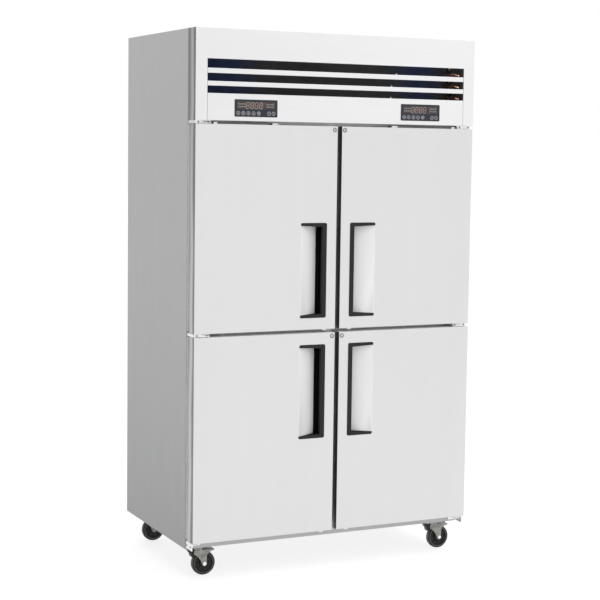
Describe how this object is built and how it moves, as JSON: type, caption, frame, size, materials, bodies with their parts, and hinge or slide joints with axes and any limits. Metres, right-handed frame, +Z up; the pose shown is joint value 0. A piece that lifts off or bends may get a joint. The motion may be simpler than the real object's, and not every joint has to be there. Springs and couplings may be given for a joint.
{
  "type": "reach in refrigerator",
  "caption": "Upright steel reach-in refrigerator with paired upper and lower doors, recessed pulls, louvred header with two temperature displays, and swivel casters.",
  "frame": {"origin": "on the floor, under the middle of the whole object", "axes": "+Z up; +X to the right of someone facing the doors; +Y from the doors to the back"},
  "size_m": [1.11, 0.714, 1.95],
  "materials": {
    "brushed_steel": "satin",
    "side_steel": "satin",
    "liner_steel": "satin",
    "galvanised_steel": "matte",
    "zinc_plated": "satin",
    "chrome_wire": "gloss",
    "aluminium_fins": "matte",
    "insulated_body": "matte",
    "black_plastic": "satin",
    "display_gloss": "gloss",
    "gasket_rubber": "matte",
    "wheel_rubber": "matte",
    "black_enamel": "gloss",
    "white_cover": "satin"
  },
  "bodies": {
    "cabinet": {"back_panel": "galvanised_steel", "base_pan": "galvanised_steel", "insulation_core": "insulated_body", "front_frame": "brushed_steel", "header_panel": "brushed_steel", "condenser": "aluminium_fins", "side_panel_left": "side_steel", "liner_left": "liner_steel", "evaporator_left": "white_cover", "controller_left": "display_gloss", "compressor_left": "black_enamel", "shelf_left_lower": "chrome_wire", "shelf_left_middle": "chrome_wire", "shelf_left_upper": "chrome_wire", "hinge_left_top": "zinc_plated", "hinge_left_middle": "zinc_plated", "hinge_left_bottom": "zinc_plated", "side_panel_right": "side_steel", "liner_right": "liner_steel", "evaporator_right": "white_cover", "controller_right": "display_gloss", "compressor_right": "black_enamel", "shelf_right_lower": "chrome_wire", "shelf_right_middle": "chrome_wire", "shelf_right_upper": "chrome_wire", "hinge_right_top": "zinc_plated", "hinge_right_middle": "zinc_plated", "hinge_right_bottom": "zinc_plated", "caster_plate_front_left": "zinc_plated", "caster_plate_front_right": "zinc_plated", "caster_plate_rear_left": "zinc_plated", "caster_plate_rear_right": "zinc_plated"},
    "upper_left_door": {"door_upper_left": "brushed_steel", "gasket_upper_left": "gasket_rubber", "handle_upper_left": "black_plastic"},
    "upper_left_lock": {"lock_upper_left": "zinc_plated"},
    "upper_right_door": {"door_upper_right": "brushed_steel", "gasket_upper_right": "gasket_rubber", "handle_upper_right": "black_plastic"},
    "upper_right_lock": {"lock_upper_right": "zinc_plated"},
    "lower_left_door": {"door_lower_left": "brushed_steel", "gasket_lower_left": "gasket_rubber", "handle_lower_left": "black_plastic"},
    "lower_left_lock": {"lock_lower_left": "zinc_plated"},
    "lower_right_door": {"door_lower_right": "brushed_steel", "gasket_lower_right": "gasket_rubber", "handle_lower_right": "black_plastic"},
    "lower_right_lock": {"lock_lower_right": "zinc_plated"},
    "caster_front_left": {"caster_fork_front_left": "zinc_plated"},
    "wheel_front_left": {"caster_wheel_front_left": "wheel_rubber"},
    "brake_front_left": {"brake_pedal_front_left": "black_plastic"},
    "caster_front_right": {"caster_fork_front_right": "zinc_plated"},
    "wheel_front_right": {"caster_wheel_front_right": "wheel_rubber"},
    "brake_front_right": {"brake_pedal_front_right": "black_plastic"},
    "caster_rear_left": {"caster_fork_rear_left": "zinc_plated"},
    "wheel_rear_left": {"caster_wheel_rear_left": "wheel_rubber"},
    "caster_rear_right": {"caster_fork_rear_right": "zinc_plated"},
    "wheel_rear_right": {"caster_wheel_rear_right": "wheel_rubber"},
    "fan_left": {"condenser_fan_left": "black_plastic"},
    "fan_right": {"condenser_fan_right": "black_plastic"}
  },
  "joints": [
    {"name": "upper_left_door_hinge", "type": "hinge", "parent": "cabinet", "child": "upper_left_door", "pos_m": [-0.536, -0.33, 0.8915], "axis": [0, 0, -1], "range_deg": [0, 115], "stiffness_Nm_per_rad": 1.5},
    {"name": "upper_left_lock_turn", "type": "hinge", "parent": "upper_left_door", "child": "upper_left_lock", "pos_m": [-0.02, -0.355, 1.6085], "axis": [0, 1, 0], "range_deg": [0, 90]},
    {"name": "upper_right_door_hinge", "type": "hinge", "parent": "cabinet", "child": "upper_right_door", "pos_m": [0.536, -0.33, 0.8915], "axis": [0, 0, 1], "range_deg": [0, 115], "stiffness_Nm_per_rad": 1.5},
    {"name": "upper_right_lock_turn", "type": "hinge", "parent": "upper_right_door", "child": "upper_right_lock", "pos_m": [0.02, -0.355, 1.6085], "axis": [0, -1, 0], "range_deg": [0, 90]},
    {"name": "lower_left_door_hinge", "type": "hinge", "parent": "cabinet", "child": "lower_left_door", "pos_m": [-0.536, -0.33, 0.148], "axis": [0, 0, -1], "range_deg": [0, 115], "stiffness_Nm_per_rad": 1.5},
    {"name": "lower_left_lock_turn", "type": "hinge", "parent": "lower_left_door", "child": "lower_left_lock", "pos_m": [-0.02, -0.355, 0.865], "axis": [0, 1, 0], "range_deg": [0, 90]},
    {"name": "lower_right_door_hinge", "type": "hinge", "parent": "cabinet", "child": "lower_right_door", "pos_m": [0.536, -0.33, 0.148], "axis": [0, 0, 1], "range_deg": [0, 115], "stiffness_Nm_per_rad": 1.5},
    {"name": "lower_right_lock_turn", "type": "hinge", "parent": "lower_right_door", "child": "lower_right_lock", "pos_m": [0.02, -0.355, 0.865], "axis": [0, -1, 0], "range_deg": [0, 90]},
    {"name": "front_left_swivel", "type": "hinge", "parent": "cabinet", "child": "caster_front_left", "pos_m": [-0.488, -0.23, 0.1], "axis": [0, 0, 1], "continuous": true},
    {"name": "front_left_wheel_spin", "type": "hinge", "parent": "caster_front_left", "child": "wheel_front_left", "pos_m": [-0.466, -0.23, 0.044], "axis": [0, 1, 0], "continuous": true},
    {"name": "front_left_brake", "type": "hinge", "parent": "caster_front_left", "child": "brake_front_left", "pos_m": [-0.501, -0.23, 0.083], "axis": [0, -1, 0], "range_deg": [0, 10]},
    {"name": "front_right_swivel", "type": "hinge", "parent": "cabinet", "child": "caster_front_right", "pos_m": [0.488, -0.23, 0.1], "axis": [0, 0, 1], "continuous": true},
    {"name": "front_right_wheel_spin", "type": "hinge", "parent": "caster_front_right", "child": "wheel_front_right", "pos_m": [0.51, -0.23, 0.044], "axis": [0, 1, 0], "continuous": true},
    {"name": "front_right_brake", "type": "hinge", "parent": "caster_front_right", "child": "brake_front_right", "pos_m": [0.475, -0.23, 0.083], "axis": [0, -1, 0], "range_deg": [0, 10]},
    {"name": "rear_left_swivel", "type": "hinge", "parent": "cabinet", "child": "caster_rear_left", "pos_m": [-0.488, 0.304, 0.1], "axis": [0, 0, 1], "continuous": true},
    {"name": "rear_left_wheel_spin", "type": "hinge", "parent": "caster_rear_left", "child": "wheel_rear_left", "pos_m": [-0.466, 0.304, 0.044], "axis": [0, 1, 0], "continuous": true},
    {"name": "rear_right_swivel", "type": "hinge", "parent": "cabinet", "child": "caster_rear_right", "pos_m": [0.488, 0.304, 0.1], "axis": [0, 0, 1], "continuous": true},
    {"name": "rear_right_wheel_spin", "type": "hinge", "parent": "caster_rear_right", "child": "wheel_rear_right", "pos_m": [0.51, 0.304, 0.044], "axis": [0, 1, 0], "continuous": true},
    {"name": "left_fan_spin", "type": "hinge", "parent": "cabinet", "child": "fan_left", "pos_m": [-0.204, -0.162, 1.766], "axis": [0, 1, 0], "continuous": true},
    {"name": "right_fan_spin", "type": "hinge", "parent": "cabinet", "child": "fan_right", "pos_m": [0.226, -0.162, 1.766], "axis": [0, 1, 0], "continuous": true}
  ]
}
